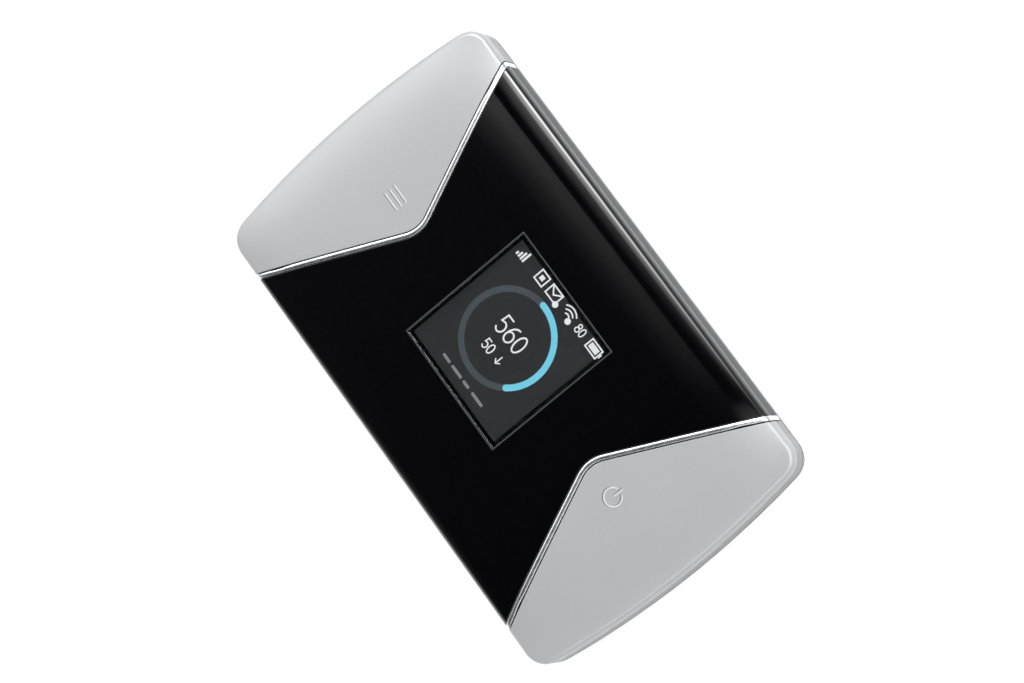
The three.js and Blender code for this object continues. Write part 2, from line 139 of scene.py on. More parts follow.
def make_shell(name, verts, faces, thickness=SKIN, bevel=BEVEL, mirror=False):
    """A closed wall behind an open skin, with a rounded edge along every border of the skin."""
    if mirror:
        verts = [(-x, y, z) for x, y, z in verts]
        faces = [tuple(reversed(f)) for f in faces]
    used = sorted({i for f in faces for i in f})
    index = {old: new for new, old in enumerate(used)}
    points = [Vector(verts[i]) for i in used]
    faces = [tuple(index[i] for i in f) for f in faces]
    normal = [Vector() for _ in points]
    for f in faces:
        a, b, c = (points[i] for i in f[:3])
        n = (c - a).cross(points[f[3]] - b) if len(f) == 4 else (b - a).cross(c - b)
        for i in f:
            normal[i] += n
    normal = [n.normalized() for n in normal]
    edges = dict.fromkeys(edge for f in faces for edge in zip(f, f[1:] + f[:1]))
    border = [(a, b) for a, b in edges if (b, a) not in edges]
    pushes = {}
    for a, b in border:
        along = (points[b] - points[a]).normalized()
        for i in (a, b):
            pushes.setdefault(i, []).append(along.cross(normal[i]).normalized())

    # Each border point gets a ring: itself, then three points round the edge.
    out = [tuple(p) for p in points]
    custom = {i: tuple(n) for i, n in enumerate(normal)}
    rings, outward = {}, {}
    for i, dirs in pushes.items():
        d = sum(dirs, Vector()).normalized()
        d = (d - normal[i] * d.dot(normal[i])).normalized()
        outward[i] = d * min(1.4, 1 / max(0.5, d.dot(dirs[0])))
        rings[i] = [i]
        for degrees in (30, 60, 90):
            s, c = math.sin(math.radians(degrees)), math.cos(math.radians(degrees))
            p = points[i] + outward[i] * (bevel * s) - normal[i] * (bevel * (1 - c))
            custom[len(out)] = tuple((normal[i] * c + d * s).normalized())
            rings[i].append(len(out))
            out.append(tuple(p))
    inner = {}
    for i, p in enumerate(points):
        q = p - normal[i] * thickness
        if i in rings:
            q += outward[i] * bevel
        inner[i] = len(out)
        out.append(tuple(q))

    result = list(faces)
    for a, b in border:
        for k in range(3):
            result.append((rings[b][k], rings[a][k], rings[a][k + 1], rings[b][k + 1]))
        result.append((rings[b][3], rings[a][3], inner[a], inner[b]))
    result += [tuple(inner[i] for i in reversed(f)) for f in faces]
    obj = make_object(name, out, result)
    # The skin and its rounded edges keep these normals; the walls behind them get their own.
    loops = []
    for poly in obj.data.polygons:
        k = poly.index - len(faces)
        shown = k < 0 or (k < 4 * len(border) and k % 4 < 3)
        loops += [custom[v] if shown else (0, 0, 0) for v in poly.vertices]
    obj.data.normals_split_custom_set(loops)
    return obj


def grid_faces(rows, cols, skip=None):
    """Quads of a grid of points, without the cells for which skip(row, column) is true."""
    starts = [r * cols + c for r in range(rows - 1) for c in range(cols - 1)
              if not (skip and skip(r, c))]
    return [(a, a + cols, a + cols + 1, a + 1) for a in starts]


DENSE_Y = 3.3  # rows lie closer together over the tips of the keys


def cross_rows(extra=()):
    """Rows over the body from the +Y wall, over the front, to the -Y wall.

    A row is a kind, the sign of its side, and a share of the wall, an angle or a distance."""
    flat = HALF_W - ROUND
    tops = [flat - v for v in spread(0, 1, 4)[:-1]]
    tops += spread(flat - 1, DENSE_Y, 24) + spread(DENSE_Y, 0, 11)[1:]
    for y in extra:
        tops = [v for v in tops if abs(y - v) >= 0.5] + [y]
    tops = sorted(set(tops), reverse=True)
    half = [("side", 1, f) for f in spread(0, 1, 3)[:-1]]
    half += [("round", 1, math.radians(a)) for a in spread(0, 90, 9)[:-1]]
    rows = half + [("top", 1, y) for y in tops] + [("top", -1, y) for y in reversed(tops) if y > 0]
    return rows + [(k, -1, v) for k, _, v in reversed(half)]


def row_y(row):
    kind, sign, v = row
    if kind == "side":
        return sign * HALF_W
    if kind == "round":
        return sign * (HALF_W - ROUND * (1 - math.cos(v)))
    return sign * v


def row_point(row, x, low):
    kind, _, v = row
    y = row_y(row)
    top = crown(x, y)
    if kind == "side":
        return (x, y, low + (top - ROUND - low) * v)
    if kind == "round":
        return (x, y, top - ROUND * (1 - math.sin(v)))
    return (x, y, top)


def arc(cx, cy, rx, ry, start, end, steps=16):
    """Points of an ellipse arc between two angles in degrees, counter-clockwise from +X."""
    angles = [math.radians(a) for a in spread(start, end, steps)]
    return [(cx + rx * math.cos(a), cy + ry * math.sin(a)) for a in angles]


def sweep(verts, faces, points, section, base, closed=False, round_ends=True):
    """Sweep a section of (across, height) points, given counter-clockwise, along a path in plan.

    base(x, y) is the height that the section stands on. An open path ends in half circles, or
    square if round_ends is false."""
    half = max(across for across, _ in section)
    stations = []
    count = len(points)
    for i, (x, y) in enumerate(points):
        before = points[(i - 1) % count] if closed or i else points[i]
        after = points[(i + 1) % count] if closed or i < count - 1 else points[i]
        one, two = Vector((x - before[0], y - before[1])), Vector((after[0] - x, after[1] - y))
        one = one.normalized() if one.length else two.normalized()
        two = two.normalized() if two.length else one
        along = (one + two).normalized()
        mitre = 1 / max(0.5, along.dot(two))
        stations.append((x, y, along, 1.0, mitre))
    if not closed and round_ends:
        for end, sign in ((0, -1), (-1, 1)):
            x, y, along, _, _ = stations[end]
            tail = []
            for degrees in (25, 48, 68, 80):
                a = math.radians(degrees)
                step = along * (sign * half * math.sin(a))
                tail.append((x + step.x, y + step.y, along, math.cos(a), 1.0))
            stations = tail[::-1] + stations if sign < 0 else stations + tail
    first, ring, total = len(verts), len(section), len(stations)
    for x, y, along, shrink, mitre in stations:
        for across, height in section:
            px = x - along.y * across * shrink * mitre
            py = y + along.x * across * shrink * mitre
            verts.append((px, py, base(px, py) + height))
    for i in range(total if closed else total - 1):
        a, b = first + i * ring, first + ((i + 1) % total) * ring
        for k in range(ring):
            m = (k + 1) % ring
            faces.append((a + m, b + m, b + k, a + k))
    if not closed:
        faces.append(tuple(first + k for k in reversed(range(ring))))
        faces.append(tuple(first + (total - 1) * ring + k for k in range(ring)))


def flat_section(width, thickness):
    w = width / 2
    return [(-w, 0), (w, 0), (w, thickness), (-w, thickness)]


def raised_section(width, height, depth=0.12):
    """A low rib with sloped shoulders, its foot sunk under the surface."""
    w = width / 2
    return [(-w, -depth), (w, -depth), (w, -0.01), (w * 0.62, height),
            (-w * 0.62, height), (-w, -0.01)]


# ------------------------------------------------------------------ materials
NOISE_LOW, NOISE_HIGH = 0.3, 0.7  # a noise texture seldom leaves this range


def new_material(name):
    material = bpy.data.materials.new(name)
    material.use_nodes = True
    nodes = material.node_tree.nodes
    return material, nodes, material.node_tree.links, nodes["Principled BSDF"]


def set_inputs(node, **values):
    """Set inputs of a shader node: From_Min is the one called From Min."""
    for name, value in values.items():
        node.inputs[name.replace("_", " ")].default_value = value
    return node


def srgb(red, green, blue):
    shares = [v / 255 for v in (red, green, blue)]
    return (*(v / 12.92 if v <= 0.04045 else ((v + 0.055) / 1.055) ** 2.4 for v in shares), 1)


def add_tint(nodes, links, noise, colour, colour_spread, socket):
    """Colour a socket by a noise, from a little darker to a little lighter than colour."""
    ramp = nodes.new("ShaderNodeValToRGB")
    tones = (NOISE_LOW, 1 - colour_spread), (NOISE_HIGH, 1 + colour_spread)
    for k, (position, share) in enumerate(tones):
        element = ramp.color_ramp.elements[k]
        element.position = position
        element.color = (*(min(1, c * share) for c in colour[:3]), 1)
    links.new(noise.outputs["Fac"], ramp.inputs["Fac"])
    links.new(ramp.outputs["Color"], socket)


def finish(name, colour, rough, metal=0.0, grain=2500, colour_spread=0.08, rough_spread=0.06,
           bump=0.02, coat=0.0, stretch=(1, 1, 1), smudge=0.0, specular=0.5):
    """Paint, plastic or metal, with a fine grain and broad faint handling marks.

    The grain is in the colour, the roughness and the height, the marks are in the roughness."""
    material, nodes, links, bsdf = new_material(name)
    coords = nodes.new("ShaderNodeTexCoord")
    stretched = set_inputs(nodes.new("ShaderNodeMapping"), Scale=stretch)
    links.new(coords.outputs["Object"], stretched.inputs["Vector"])
    fine = set_inputs(nodes.new("ShaderNodeTexNoise"), Scale=grain, Detail=3)
    links.new(stretched.outputs["Vector"], fine.inputs["Vector"])
    broad = set_inputs(nodes.new("ShaderNodeTexNoise"), Scale=55, Detail=5, Roughness=0.6)
    links.new(coords.outputs["Object"], broad.inputs["Vector"])
    add_tint(nodes, links, fine, colour, colour_spread, bsdf.inputs["Base Color"])
    grit = set_inputs(nodes.new("ShaderNodeMapRange"), From_Min=NOISE_LOW, From_Max=NOISE_HIGH,
                      To_Min=max(0.0, rough - rough_spread), To_Max=rough + rough_spread)
    links.new(fine.outputs["Fac"], grit.inputs["Value"])
    marks = set_inputs(nodes.new("ShaderNodeMapRange"), From_Min=0.45, From_Max=0.75,
                       To_Max=smudge)
    links.new(broad.outputs["Fac"], marks.inputs["Value"])
    total = nodes.new("ShaderNodeMath")
    total.operation = "ADD"
    links.new(grit.outputs["Result"], total.inputs[0])
    links.new(marks.outputs["Result"], total.inputs[1])
    links.new(total.outputs["Value"], bsdf.inputs["Roughness"])
    if bump:
        relief = set_inputs(nodes.new("ShaderNodeBump"), Strength=bump, Distance=0.00005)
        links.new(fine.outputs["Fac"], relief.inputs["Height"])
        links.new(relief.outputs["Normal"], bsdf.inputs["Normal"])
    set_inputs(bsdf, Metallic=metal, Specular_IOR_Level=specular)
    if coat:
        set_inputs(bsdf, Coat_Weight=coat, Coat_Roughness=0.12)
    return material


def paint_shade_by_height(material, low, high, share):
    """Painted shade: darken the colour towards the height low, in mm, where only a share of its
    colour is left.
    """
    nodes, links = material.node_tree.nodes, material.node_tree.links
    colour = nodes["Principled BSDF"].inputs["Base Color"]
    source = colour.links[0].from_socket
    coords, split = nodes.new("ShaderNodeTexCoord"), nodes.new("ShaderNodeSeparateXYZ")
    links.new(coords.outputs["Object"], split.inputs[0])
    fade = set_inputs(nodes.new("ShaderNodeMapRange"), From_Min=low * MM, From_Max=high * MM,
                      To_Min=share, To_Max=1.0)
    links.new(split.outputs["Z"], fade.inputs["Value"])
    scaled = nodes.new("ShaderNodeVectorMath")
    scaled.operation = "SCALE"
    links.new(source, scaled.inputs[0])
    links.new(fade.outputs["Result"], scaled.inputs["Scale"])
    links.new(scaled.outputs["Vector"], colour)


def glow(name, colour):
    """A lit part of the display: an emitter with the fine cell pattern of the panel."""
    material, nodes, links, bsdf = new_material(name)
    coords = nodes.new("ShaderNodeTexCoord")
    cells = set_inputs(nodes.new("ShaderNodeTexNoise"), Scale=4000)
    links.new(coords.outputs["Object"], cells.inputs["Vector"])
    add_tint(nodes, links, cells, colour, 0.05, bsdf.inputs["Emission Color"])
    set_inputs(bsdf, Base_Color=(0.004, 0.004, 0.005, 1), Emission_Strength=1.1, Roughness=0.5,
               Specular_IOR_Level=0.1)
    return material


def solder_mask():
    """The board's green lacquer, with a faint pattern of tracks under it."""
    material, nodes, links, bsdf = new_material("solder_mask")
    coords = nodes.new("ShaderNodeTexCoord")
    tracks = set_inputs(nodes.new("ShaderNodeTexBrick"), Scale=240, Mortar_Size=0.012,
                        Color1=srgb(14, 74, 44), Color2=srgb(18, 84, 50), Mortar=srgb(38, 118, 74))
    links.new(coords.outputs["Object"], tracks.inputs["Vector"])
    links.new(tracks.outputs["Color"], bsdf.inputs["Base Color"])
    speck = set_inputs(nodes.new("ShaderNodeTexNoise"), Scale=900)
    links.new(coords.outputs["Object"], speck.inputs["Vector"])
    gloss = set_inputs(nodes.new("ShaderNodeMapRange"), To_Min=0.25, To_Max=0.5)
    links.new(speck.outputs["Fac"], gloss.inputs["Value"])
    links.new(gloss.outputs["Result"], bsdf.inputs["Roughness"])
    return material


def clear_lens():
    """Polished glass with a trace of uneven haze."""
    material, nodes, links, bsdf = new_material("clear_lens")
    coords = nodes.new("ShaderNodeTexCoord")
    haze = set_inputs(nodes.new("ShaderNodeTexNoise"), Scale=90)
    links.new(coords.outputs["Object"], haze.inputs["Vector"])
    soft = set_inputs(nodes.new("ShaderNodeMapRange"), To_Min=0.0, To_Max=0.008)
    links.new(haze.outputs["Fac"], soft.inputs["Value"])
    links.new(soft.outputs["Result"], bsdf.inputs["Roughness"])
    set_inputs(bsdf, Base_Color=(0.95, 0.96, 0.97, 1), Transmission_Weight=1.0, IOR=1.45)
    return material


silver = finish("silver_paint", srgb(139, 140, 141), 0.35, metal=0.35, grain=5200,
                colour_spread=0.04, rough_spread=0.05, bump=0.08, smudge=0.03, specular=0.15)
# Painted shade: the keys' walls get darker towards their foot, down to 46 % of the paint's colour
# at 12.4 mm.
paint_shade_by_height(silver, 12.4, 13.4, 0.46)
# Painted highlight: a lighter copy of the key paint for the raised marks on the keys.
symbol_highlight_paint = finish("symbol_painted_highlight", srgb(170, 171, 172), 0.35, metal=0.3, grain=5200,
                      colour_spread=0.03, bump=0.05)
# Painted shadow: a darker copy of the key paint for a low rib on the -X side of each mark.
symbol_shadow_paint = finish("symbol_groove", srgb(78, 79, 81), 0.5, metal=0.3, grain=5200,
                     colour_spread=0.05, bump=0.05)
gloss_black = finish("gloss_black", srgb(3, 3, 4), 0.03, grain=900, colour_spread=0.15,
                     rough_spread=0.008, bump=0.0, smudge=0.01, specular=1.0)
chrome = finish("chrome_trim", srgb(200, 201, 202), 0.28, metal=1.0, grain=3000,
                colour_spread=0.03, rough_spread=0.04, bump=0.03, stretch=(1, 0.15, 1))
border_metal = finish("border_metal", srgb(36, 37, 38), 0.6, bump=0.05, specular=0.2)
gunmetal = finish("gunmetal", srgb(44, 45, 47), 0.5, metal=0.2, grain=4200,
                  colour_spread=0.08, bump=0.1, specular=0.12)
cover_paint = finish("cover_paint", srgb(140, 141, 142), 0.46, metal=0.3, grain=4200,
                     colour_spread=0.05, rough_spread=0.08, bump=0.15, smudge=0.05, specular=0.2)
# Painted shade: the cover and its tabs get darker upwards, towards the rim under the seam, down to
# 60 % at 8.4 mm.
paint_shade_by_height(cover_paint, 8.4, 4.0, 0.6)
black_plastic = finish("chassis_plastic", srgb(30, 31, 33), 0.62, grain=2600,
                       colour_spread=0.15, bump=0.5)
steel = finish("tinned_steel", srgb(186, 188, 190), 0.3, metal=1.0, grain=1500,
               colour_spread=0.08, rough_spread=0.1, bump=0.15, stretch=(1, 0.1, 1))
screw_steel = finish("screw_steel", srgb(150, 151, 153), 0.32, metal=1.0, bump=0.2)
gold = finish("gold_plate", srgb(212, 172, 96), 0.26, metal=1.0, grain=1800, bump=0.08)
chip_black = finish("moulded_chip", srgb(34, 34, 36), 0.55, grain=3500, colour_spread=0.2,
                    bump=0.4)
foam = finish("foam", srgb(14, 14, 15), 0.95, grain=1800, colour_spread=0.3, bump=1.0)
button_grey = finish("button_plastic", srgb(70, 72, 75), 0.5, grain=2200, bump=0.3)
plunger_white = finish("plunger_nylon", srgb(216, 212, 200), 0.45, bump=0.2)
flex_amber = finish("flexible_circuit", srgb(176, 116, 44), 0.4, grain=700,
                    colour_spread=0.25, bump=0.1)
guide_white = finish("light_guide", srgb(232, 234, 236), 0.5, grain=1500, colour_spread=0.03,
                     bump=0.1)
wrap = finish("battery_wrap", srgb(40, 42, 46), 0.38, grain=1400, colour_spread=0.12,
              bump=0.15, coat=0.2)
label_paper = finish("blank_label", srgb(206, 208, 210), 0.55, grain=900, colour_spread=0.04,
                     bump=0.15)
lcd_margin = finish("display_margin", srgb(7, 7, 8), 0.35, grain=3000, colour_spread=0.2,
                    specular=0.2)
board, lens_glass = solder_mask(), clear_lens()
lcd_dark = glow("display_field", srgb(41, 42, 43))
ui_white = glow("display_white", srgb(228, 230, 232))
ui_grey = glow("display_grey", srgb(128, 131, 133))
ui_track = glow("display_track", srgb(68, 76, 80))
ui_cyan = glow("display_cyan", srgb(114, 203, 224))


def place(obj, body, material, *nodes_replaced, slot):
    obj.data.materials.append(material)
    if nodes_replaced:
        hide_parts(*nodes_replaced)
    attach(obj, body)


# ------------------------------------------------------------------ front panel, window, trims
def build_panel():
    """The gloss panel, from one long wall over the front to the other, with the window's hole."""
    beside, over = 22, 26  # columns of cells on each side of the window, and over it
    x0, x1, y0, y1 = (edge + BEVEL * sign for edge, sign in zip(SCREEN, (-1, 1, -1, 1)))
    rows = [r for r in cross_rows()
            if r[0] != "top" or min(abs(row_y(r) - y0), abs(row_y(r) - y1)) >= 0.6]
    rows += [("top", 1 if y > 0 else -1, abs(y)) for y in (y0, y1)]
    tops = sorted([r for r in rows if r[0] == "top"], key=lambda r: -row_y(r))
    upper = [r for r in rows if r[0] != "top" and r[1] > 0]
    lower = [r for r in rows if r[0] != "top" and r[1] < 0]
    rows = upper + tops + lower
    verts = []
    for r in rows:
        edge = vee_x(row_y(r), -FIT - BEVEL)
        xs = spread(-edge, x0, beside)[:-1] + spread(x0, x1, over) + spread(x1, edge, beside)[1:]
        verts += [row_point(r, x, PANEL_LOW + BEVEL) for x in xs]
    hole = [i for i, r in enumerate(rows) if r[0] == "top" and y0 - 1e-6 < row_y(r) <= y1 + 1e-6]
    faces = grid_faces(len(rows), 2 * beside + over + 1, skip=lambda r, c: (
        min(hole) <= r < max(hole) and beside <= c < beside + over))
    return make_shell("panel_gloss", verts, faces)


def build_lens():
    """The glass, a little smaller than its opening and just under the panel's surface."""
    gap, thickness, bevel, drop, steps = 0.15, 0.7, 0.06, 0.06, 24
    xs = spread(SCREEN[0] + gap + bevel, SCREEN[1] - gap - bevel, steps)
    ys = spread(SCREEN[3] - gap - bevel, SCREEN[2] + gap + bevel, steps)
    verts = [(x, y, crown(x, y) - drop) for y in ys for x in xs]
    return make_shell("lens_glass", verts, grid_faces(steps + 1, steps + 1), thickness, bevel)


def build_border():
    """The hairline frame round the window, over the joint between panel and lens."""
    inset, half, foot, lift, slope, steps = 0.05, 0.15, -0.04, 0.02, 0.03, 20
    x0, x1, y0, y1 = SCREEN[0] + inset, SCREEN[1] - inset, SCREEN[2] + inset, SCREEN[3] - inset
    path = [(x0, y) for y in spread(y0, y1, steps)[:-1]]
    path += [(x, y1) for x in spread(x0, x1, steps)[:-1]]
    path += [(x1, y) for y in spread(y1, y0, steps)[:-1]]
    path += [(x, y0) for x in spread(x1, x0, steps)[:-1]]
    section = [(-half, foot), (half, foot), (half, 0.0), (half - slope, lift),
               (slope - half, lift), (-half, 0.0)]
    verts, faces = [], []
    sweep(verts, faces, path, section, crown, closed=True)
    return make_object("window_border", verts, faces)


def build_trim(side):
    """The chrome strip along a key, from one long wall over the front to the other."""
    bevel, cols = 0.12, 9
    rows = cross_rows(extra=(SLOT_END - 0.35, SLOT_END + 0.05))
    verts = []
    for r in rows:
        y = row_y(r)
        # The slot to the key is fine along the tip, opens near its ends and closes beyond them.
        opening = min(1, max(0, (abs(y) - SLOT_OPEN_Y) / OPENING))
        closing = min(1, max(0, (abs(y) - SLOT_END + CLOSING) / CLOSING))
        width = FINE_TRIM_W + (TRIM_W - FINE_TRIM_W) * opening + (TRIM_END_W - TRIM_W) * closing
        for f in spread(0, 1, cols - 1):
            x, y, z = row_point(r, vee_x(y, bevel + (width - 2 * bevel) * f), KEY_LOW + bevel)
            lift = TRIM_LIFT * (1 - (2 * f - 1) ** 2) if r[0] == "top" else 0
            verts.append((x, y, z + lift))
    return make_shell("left_chrome" if side < 0 else "right_chrome", verts,
                      grid_faces(len(rows), cols), SKIN, bevel, mirror=side < 0)


# ------------------------------------------------------------------ display picture
LCD_TOP = node_box("lcd_panel")[1][2]
DISPLAY_X, DISPLAY_Y = (SCREEN[0] + SCREEN[1]) / 2, (SCREEN[2] + SCREEN[3]) / 2
FIELD_W, FIELD_H = 27.2, 28.4  # the lit area, inside the panel's black margin
FIELD_X, FIELD_Y = -0.7, -0.7  # its middle, from the middle of the window
INK, LAYER_GAP = 0.03, 0.01  # thickness of the picture's marks, and the air under each layer


class Marks:
    """Marks of one colour on the display, in millimetres from the middle of the window."""

    def __init__(self, name, material, level=0):
        self.name, self.material, self.verts, self.faces = name, material, [], []
        self.low = LCD_TOP + LAYER_GAP + level * (INK + LAYER_GAP)

    def line(self, points, width, closed=False):
        path = [(DISPLAY_X + x, DISPLAY_Y + y) for x, y in points]
        sweep(self.verts, self.faces, path, flat_section(width, INK), lambda x, y: self.low, closed)

    def plate(self, points):
        """A filled convex outline, given counter-clockwise."""
        first, n = len(self.verts), len(points)
        for z in (self.low, self.low + INK):
            self.verts += [(DISPLAY_X + x, DISPLAY_Y + y, z) for x, y in points]
        self.faces.append(tuple(first + i for i in reversed(range(n))))
        self.faces.append(tuple(first + n + i for i in range(n)))
        for i in range(n):
            j = (i + 1) % n
            self.faces.append((first + i, first + j, first + n + j, first + n + i))

    def bar(self, x0, x1, y0, y1):
        self.plate([(x0, y0), (x1, y0), (x1, y1), (x0, y1)])

    def frame(self, x0, x1, y0, y1, width):
        self.line([(x0, y0), (x1, y0), (x1, y1), (x0, y1)], width, closed=True)

    def digits(self, text, x, y, height, width):
        """Light numerals drawn as strokes; the digit cell is 0.56 wide for a height of 1."""
        five = [(0.5, 1), (0.09, 1), (0.05, 0.56)] + arc(0.27, 0.31, 0.25, 0.31, 118, -142, 20)
        six = [(0.46, 0.98), (0.3, 0.93), (0.15, 0.78), (0.06, 0.56)]
        six += arc(0.28, 0.3, 0.25, 0.3, 180, 520, 26)
        nought = arc(0.28, 0.5, 0.25, 0.5, 0, 345, 23)
        eight = [arc(0.28, 0.265, 0.26, 0.265, 0, 340, 17), arc(0.28, 0.78, 0.21, 0.22, 0, 340, 17)]
        strokes = {"5": [five], "6": [six], "0": [nought], "8": eight}
        for k, digit in enumerate(text):
            left = x + k * height * 0.68
            for points in strokes[digit]:
                self.line([(left + px * height, y + py * height) for px, py in points], width,
                          closed=digit in "08")

    def build(self):
        obj = make_object(self.name, self.verts, self.faces, smooth=False)
        place(obj, "housing", self.material, slot="lcd_panel")


def build_picture():
    """The lit picture: a usage dial with figures in it, a row of icons and a caption of dashes."""
    ring_x, ring_y, radius, thick = -1.15, -0.45, 9.6, 1.3
    field = Marks("picture_field", lcd_dark)
    field.bar(FIELD_X - FIELD_W / 2, FIELD_X + FIELD_W / 2,
              FIELD_Y - FIELD_H / 2, FIELD_Y + FIELD_H / 2)
    track = Marks("picture_track", ui_track, level=1)
    track.line(arc(ring_x, ring_y, radius, radius, 0, 354, 59), thick, closed=True)
    used = Marks("picture_dial", ui_cyan, level=2)
    used.line(arc(ring_x, ring_y, radius, radius, -40, 93, 40), thick)

    white = Marks("picture_figures", ui_white, level=1)
    white.digits("560", ring_x - 3.65, -1.3, 3.8, 0.34)
    white.digits("50", ring_x - 2.5, -5.5, 2.1, 0.26)
    white.line([(1.1, -3.6), (1.1, -5.4)], 0.24)
    white.line([(0.45, -4.75), (1.1, -5.4), (1.75, -4.75)], 0.24)

    # Signal bars, a framed square, an envelope, radio waves, a number and a battery.
    status, ink = 10.9, 0.3
    for k in range(4):
        white.bar(-13.2 + 0.66 * k, -12.78 + 0.66 * k, status, status + 0.7 + 0.55 * k)
    white.frame(-7.1, -4.7, status + 0.1, status + 2.5, ink)
    white.bar(-6.4, -5.4, status + 0.8, status + 1.8)
    white.frame(-3.5, -0.4, status + 0.2, status + 2.5, ink)
    white.line([(-3.2, status + 2.2), (-1.95, status + 1.1), (-0.7, status + 2.2)], ink)
    for reach in (0.8, 1.6, 2.4):
        white.line(arc(2.9, status + 0.3, reach, reach, 48, 132, 10), ink)
    for x in (-0.25, 3.9):
        white.plate(arc(x, status + 0.25, 0.66, 0.66, 0, 337.5, 15))
    white.digits("80", 5.8, status + 0.3, 1.8, 0.24)
    white.frame(9.7, 12.9, status + 0.2, status + 2.3, ink)
    white.bar(10.15, 12.45, status + 0.65, status + 1.85)
    white.bar(13.1, 13.4, status + 0.8, status + 1.7)

    grey = Marks("picture_caption", ui_grey, level=1)
    for x0, x1 in ((-7.0, -4.7), (-4.1, -0.9), (-0.3, 1.6), (2.6, 6.1)):
        grey.line([(x0 + 0.3, -12.7), (x1 - 0.3, -12.7)], 0.6)
    for marks in (field, track, used, white, grey):
        marks.build()


# ------------------------------------------------------------------ end keys
KEY_EDGE = KEY_OFFSET + BEVEL  # from the panel's edge to the start of the key's rounded edge


def edge_point(place_on_edge, d):
    """A point of the key's plan outline drawn in by d: on a long side, a corner or the end."""
    kind, v, sign = place_on_edge
    if kind == "line":
        x0 = vee_x(HALF_W - d, KEY_EDGE)
        return (x0 + v * (CX - x0), sign * (HALF_W - d))
    if kind == "arc":
        r = CORNER_R - d
        return (CX + r * math.cos(v), sign * (CY + r * math.sin(v)))
    r = END_R - d
    return (END_CX + r * math.cos(v), r * math.sin(v))


def build_key(side):
    """An end key: a grid fitted between its four sides, with the rounded edge and wall below."""
    low, steps, round_steps, wall_steps = KEY_LOW + BEVEL, 26, 9, 3
    vee = [(vee_x(row_y(r), KEY_EDGE), row_y(r)) for r in cross_rows() if r[0] == "top"]
    lengths = [0]
    for p, q in zip(vee, vee[1:]):
        lengths.append(lengths[-1] + math.dist(p, q))
    ts = [v / lengths[-1] for v in lengths]

    # The long sides and the end meet in the middle of the corner arcs.
    line = CX - vee_x(HALF_W - ROUND, KEY_EDGE)
    arc_r, mid = CORNER_R - ROUND, (TURN + math.pi / 2) / 2
    half_arc = arc_r * (math.pi / 2 - mid)
    end_arc = 2 * TURN * (END_R - ROUND)

    def long_side(s, sign):
        v = s * (line + half_arc)
        if v < line:
            return ("line", v / line, sign)
        return ("arc", math.pi / 2 - (v - line) / arc_r, sign)

    def end_side(t):
        v = t * (2 * half_arc + end_arc)
        if v < half_arc:
            return ("arc", mid - v / arc_r, 1)
        if v < half_arc + end_arc:
            return ("end", TURN - (v - half_arc) / (END_R - ROUND), 1)
        return ("arc", TURN + (v - half_arc - end_arc) / arc_r, -1)

    ss = spread(0, 1, steps)
    sides = [long_side(s, 1) for s in ss], [long_side(s, -1) for s in ss], [end_side(t) for t in ts]
    upper, lower, ends = sides
    top_pts, low_pts, end_pts = [[edge_point(c, ROUND) for c in side_run] for side_run in sides]
    verts = []
    for i, t in enumerate(ts):
        for j, s in enumerate(ss):
            x, y = [
                (1 - s) * vee[i][k] + s * end_pts[i][k]
                + (1 - t) * top_pts[j][k] + t * low_pts[j][k]
                - (1 - s) * (1 - t) * vee[0][k] - s * (1 - t) * top_pts[-1][k]
                - (1 - s) * t * vee[-1][k] - s * t * low_pts[-1][k] for k in (0, 1)]
            verts.append((x, y, crown(x, y)))
    cols, rows = steps + 1, len(ts)
    faces = grid_faces(rows, cols)

    chain = upper + ends[1:] + lower[-2::-1]
    previous = list(range(cols)) + [i * cols + steps for i in range(1, rows)]
    previous += [(rows - 1) * cols + j for j in range(steps - 1, -1, -1)]
    rings = []
    for degrees in spread(90, 0, round_steps)[1:]:
        a = math.radians(degrees)
        ring = [edge_point(c, ROUND * (1 - math.cos(a))) for c in chain]
        rings.append([(x, y, crown(x, y) - ROUND * (1 - math.sin(a))) for x, y in ring])
    foot = rings[-1]
    for f in spread(0, 1, wall_steps)[1:]:
        rings.append([(x, y, z + (low - z) * f) for x, y, z in foot])
    for ring in rings:
        current = list(range(len(verts), len(verts) + len(ring)))
        verts += ring
        for i in range(len(chain) - 1):
            faces.append((previous[i], previous[i + 1], current[i + 1], current[i]))
        previous = current
    return make_shell("menu_key_cap" if side < 0 else "power_key_cap", verts, faces,
                      mirror=side < 0)


def build_symbol(side, shift, width, height, tag=""):
    """The raised mark on a key: three bars, or a ring that a short bar opens towards +Y."""
    bar_gap, bar_half = 1.25, 2.0
    ring_y, ring_r, stem_low, stem_high = -0.15, 1.84, 0.35, 2.3
    x = side * ICON_X + shift
    if side < 0:
        paths = [[(v, y + shift) for v in spread(x - bar_half, x + bar_half, 12)]
                 for y in (-bar_gap, 0, bar_gap)]
    else:
        paths = [arc(x, ring_y + shift, ring_r, ring_r, 116, 424, 40),
                 [(x, v) for v in spread(stem_low, stem_high, 6)]]
    verts, faces = [], []
    for path in paths:
        sweep(verts, faces, path, raised_section(width, height), crown)
    return make_object(("menu_symbol" if side < 0 else "power_symbol") + tag, verts, faces)


# ------------------------------------------------------------------ rear cover
RIM_Z, SEAM = 8.4, 0.2  # height of the cover's rim in the CAD, and the shadow gap drawn over it
COVER_BEVEL = 0.12
BOTTOM_INSET = 6.6  # where the flat bottom ends, in from the outline
COVER_KEYS = [  # height and inset of the rounded flank
    (0, BOTTOM_INSET), (0.15, 5.6), (0.6, 4.3), (1.4, 3.0), (2.6, 1.9), (4.2, 0.95), (5.8, 0.33),
    (7.3, 0)]
SCOOP_DEPTH, SCOOP_HALF, SCOOP_LOW = 0.55, 7.5, 6.6  # the fingernail's scoop at the -X end


